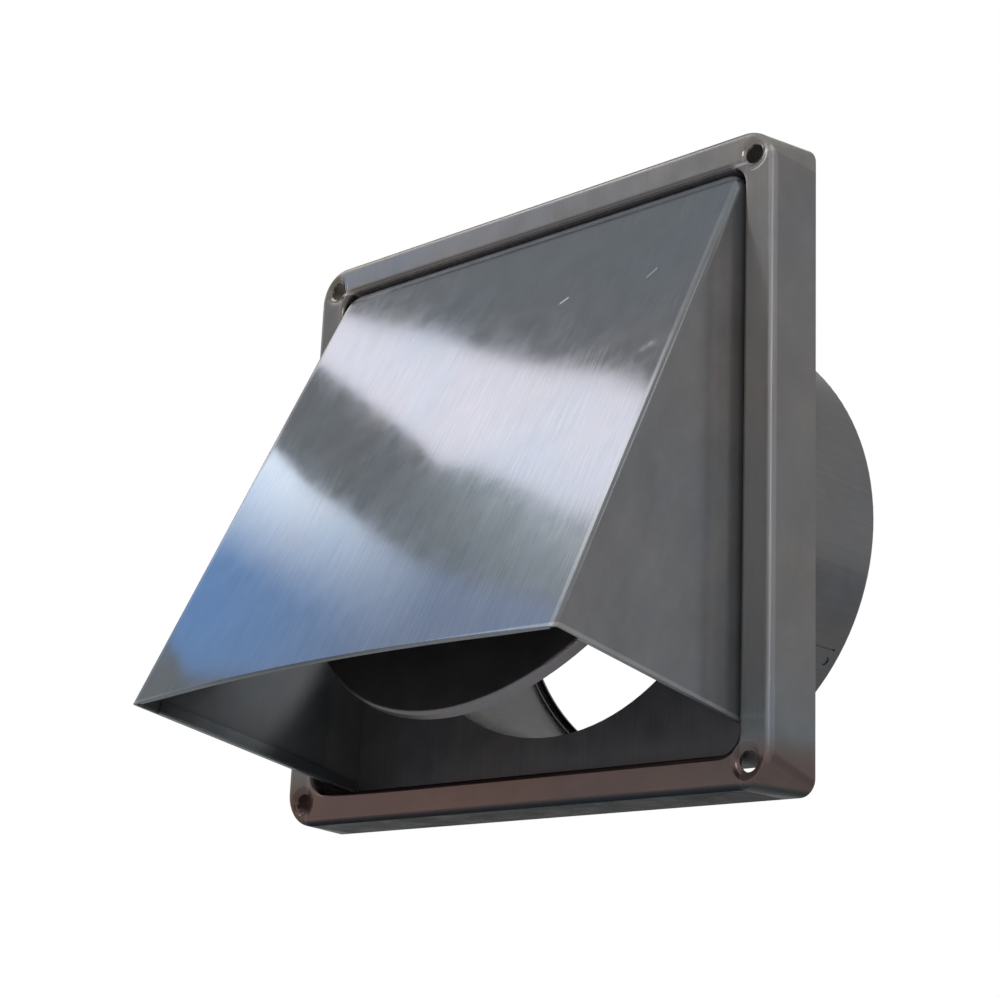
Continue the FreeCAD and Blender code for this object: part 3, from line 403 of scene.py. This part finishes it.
# Scratch: 1 on a short straight mark and 0 beyond its half width, seen square to the front
scratch_group, given, wanted = new_group(
    "short_scratch", {"Point": "Vector", "Start": "Vector", "Way": "Vector",
                      "Half width": "Float"}, {"Mark": "Float"})
flat = add(scratch_group, "VectorMath", {0: given["Point"], 1: (1, 0, 1)},
           operation="MULTIPLY")
gone = add(scratch_group, "VectorMath", {0: flat.outputs[0], 1: given["Start"]},
           operation="SUBTRACT")
forward = add(scratch_group, "VectorMath", {0: gone.outputs[0], 1: given["Way"]},
              operation="DOT_PRODUCT")
square = add(scratch_group, "VectorMath", {0: given["Way"], 1: given["Way"]},
             operation="DOT_PRODUCT")
part = add(scratch_group, "Math", {0: forward.outputs["Value"], 1: square.outputs["Value"]},
           operation="DIVIDE", use_clamp=True)
nearest = add(scratch_group, "VectorMath", {0: given["Way"], "Scale": part.outputs[0]},
              operation="SCALE")
away = add(scratch_group, "VectorMath", {0: gone.outputs[0], 1: nearest.outputs[0]},
           operation="DISTANCE")
mark = add(scratch_group, "MapRange", {
    "Value": away.outputs["Value"], "From Max": given["Half width"], "To Min": 1.0,
    "To Max": 0.0}, interpolation_type="SMOOTHSTEP")
scratch_group.links.new(mark.outputs[0], wanted["Mark"])

hood_finish = brushed_steel(
    "folded_hood_steel", cool=(0.108, 0.126, 0.143), warm=(0.121, 0.129, 0.139),
    streak=(0.0004, 0.012, 0.02), clouds_per_metre=20.0, smooth=0.09, rough=0.13,
    wave=0.00012, edge=0.6, contrast=0.11, fold=(0, -0.0183, 0.0847),
    turn=(radians(-26.43), 0, 0))

# Side folds painted lighter as a painted highlight, the sides duller and darker, and a painted
# highlight line on the fold
tint_zone(hood_finish, (1, 0, 0), 0.0809, 0.0815, (1.35, 1.32, 1.25), dull=0.12,
          both_sides=True)
tint_zone(hood_finish, (1, 0, 0), 0.0826, 0.0834, (0.72, 0.68, 0.69), matt=0.4,
          both_sides=True)
tint_zone(hood_finish, (1, -0.05, 0), 0.08218, 0.0824, (1.40, 1.36, 1.30), both_sides=True)
# Painted highlights on the hem round the slanted mouth, then on the top fold
tint_zone(hood_finish, (0.0275, -0.1597, -0.9868), 0.0793, 0.0799, (1.7, 1.7, 1.65),
          dull=0.10)
tint_zone(hood_finish, (0, 0, 1), 0.0812, 0.0830, (1.9, 1.85, 1.8), dull=0.10, matt=0.3)

tree = hood_finish.node_tree
shader = tree.nodes["Principled BSDF"]
point = tree.nodes["Texture Coordinate"].outputs["Object"]
for start, way, half_width, depth, bare_metal in (
        ((0.0623, 0, 0.0513), (0.0023, 0, 0.0023), 0.00045, 0.00006, (0.338, 0.364, 0.39, 1)),
        ((0.0298, 0, 0.0504), (0.0023, 0, 0.0016), 0.00035, 0.00005, (0.26, 0.28, 0.30, 1)),
        ((0.0738, 0, 0.0212), (0.0018, 0, 0.0013), 0.0034, 0.00008, None)):
    scratch = add(tree, "Group", node_tree=scratch_group)
    tree.links.new(point, scratch.inputs["Point"])
    scratch.inputs["Start"].default_value = start
    scratch.inputs["Way"].default_value = way
    scratch.inputs["Half width"].default_value = half_width
    dented = add(tree, "Bump", {
        "Height": scratch.outputs[0], "Distance": depth, "Strength": 1.0,
        "Normal": shader.inputs["Normal"].links[0].from_socket}, invert=True)
    tree.links.new(dented.outputs[0], shader.inputs["Normal"])
    if bare_metal:
        colour = shader.inputs["Base Color"].links[0].from_socket
        scraped = add(tree, "Mix", {0: scratch.outputs[0], 6: colour, 7: bare_metal},
                      data_type="RGBA")
        tree.links.new(scraped.outputs[2], shader.inputs["Base Color"])
give("cowl_hood", hood_finish)


# Hinge brackets and rivets: two folded steel angles under the hood that hold the flap's pin,
# each fixed to the panel by two drawn steel rivets.

bracket_finish = brushed_steel(
    "folded_bracket_steel", cool=(0.19, 0.195, 0.205), warm=(0.22, 0.21, 0.20),
    streak=(0.004, 0.004, 0.0003), clouds_per_metre=90.0, smooth=0.20, rough=0.32,
    wave=0.00001, edge=0.7)
give("hinge_bracket_left", bracket_finish)
give("hinge_bracket_right", bracket_finish)
rivet_finish = brushed_steel(
    "drawn_rivet_steel", cool=(0.24, 0.245, 0.25), warm=(0.27, 0.26, 0.25),
    streak=(0.0004, 0.004, 0.0004), clouds_per_metre=200.0, smooth=0.18, rough=0.28,
    wave=0.000005, edge=0.7)
give("bracket_rivets", rivet_finish)


# Flap: a thin dished lid of the same sheet, with a knuckle rolled in its own top edge. It hangs
# in the hood's shade.

flap_finish = brushed_steel(
    "dished_flap_steel", cool=(0.17, 0.17, 0.185), warm=(0.19, 0.175, 0.175),
    streak=(0.0006, 0.02, 0.03), clouds_per_metre=24.0, smooth=0.28, rough=0.38,
    wave=0.00005, edge=0.6, contrast=0.06)
give("backdraft_flap", flap_finish)


# Hinge pin and clips: a drawn steel wire that runs through the flap's knuckle and both
# brackets, and a pressed steel clip pushed on each end of it.

pin_finish = brushed_steel(
    "drawn_pin_steel", cool=(0.26, 0.265, 0.275), warm=(0.29, 0.28, 0.27),
    streak=(0.01, 0.0003, 0.0003), clouds_per_metre=150.0, smooth=0.14, rough=0.24,
    wave=0.000005, edge=0.8)
give("flap_hinge_pin", pin_finish)
clip_finish = brushed_steel(
    "pressed_clip_steel", cool=(0.17, 0.17, 0.18), warm=(0.20, 0.19, 0.18),
    streak=(0.0004, 0.0004, 0.0004), clouds_per_metre=260.0, smooth=0.24, rough=0.36,
    wave=0.000005, edge=0.7)
give("pin_clip_left", clip_finish)
give("pin_clip_right", clip_finish)
